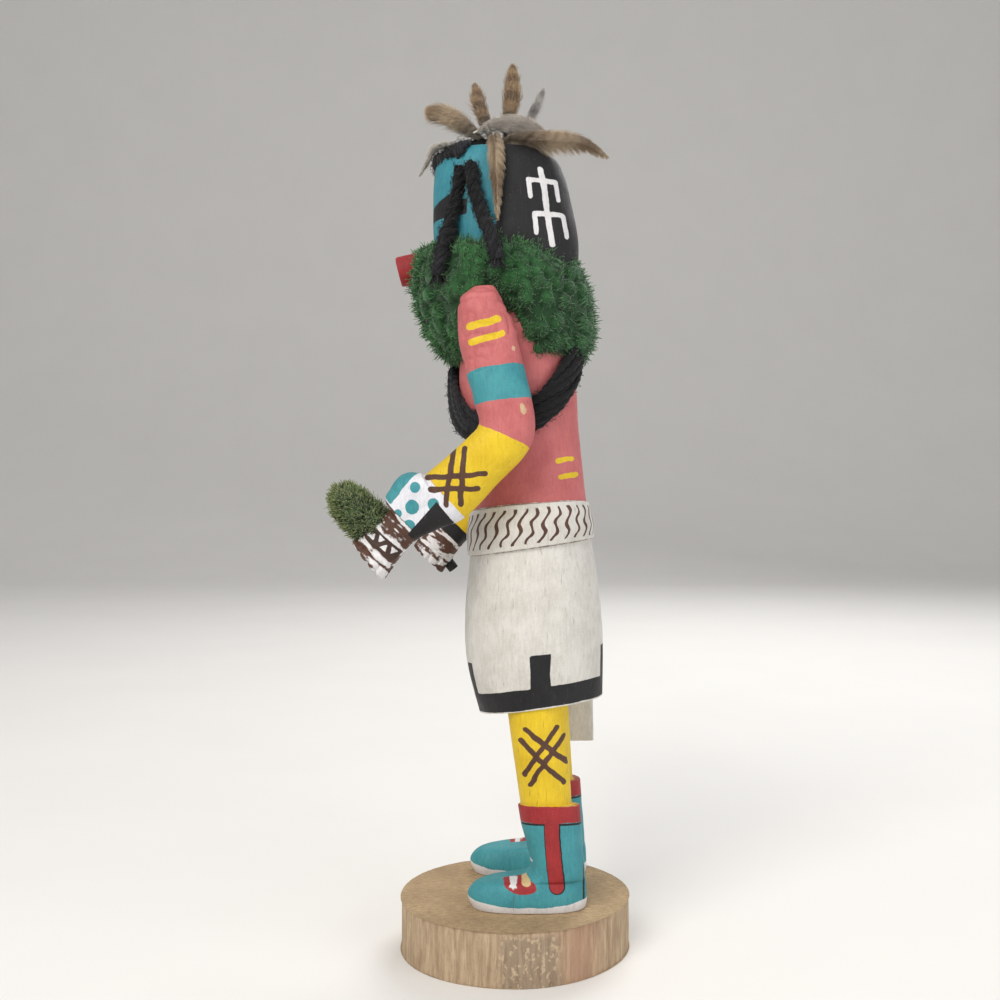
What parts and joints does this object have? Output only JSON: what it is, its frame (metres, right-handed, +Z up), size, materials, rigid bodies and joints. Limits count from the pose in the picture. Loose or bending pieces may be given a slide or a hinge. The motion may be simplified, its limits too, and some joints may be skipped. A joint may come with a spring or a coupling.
{
  "type": "kachina doll",
  "caption": "Carved and painted wooden figure with a case mask, green yarn ruff, belt and kilt, standing on a slice of log.",
  "frame": {"origin": "middle of the flat underside of the log slice", "axes": "+Z up, -Y the way the doll faces, +X towards the doll's left arm"},
  "size_m": [0.0746, 0.091, 0.278],
  "materials": {
    "log_wood": "sawn and peeled, bare",
    "painted_body": "carved, hand painted, matt",
    "painted_arm": "carved, hand painted, matt",
    "painted_snout": "turned, painted, satin",
    "painted_stick": "painted, satin",
    "green_yarn": "looped wool yarn",
    "black_yarn": "spun wool yarn",
    "tan_feather": "soft barred feather",
    "pale_feather": "down and white barbs"
  },
  "bodies": {
    "root": {"base": "log_wood", "body": "painted_body", "arm_left": "painted_arm", "arm_right": "painted_arm", "rattle_stick": "painted_stick", "snout": "painted_snout", "fringe": "black_yarn", "lock_left_front": "black_yarn", "lock_left_rear": "black_yarn", "lock_right_front": "black_yarn", "lock_right_rear": "black_yarn", "ruff": "green_yarn", "evergreen": "green_yarn", "bandolier": "black_yarn", "quill_knot": "black_yarn", "plume_upright": "tan_feather", "plume_front": "tan_feather", "plume_crest": "tan_feather", "plume_rear": "tan_feather", "plume_hanging": "tan_feather", "feather_grey": "pale_feather", "feather_white": "pale_feather", "down_tuft": "pale_feather"}
  },
  "joints": []
}
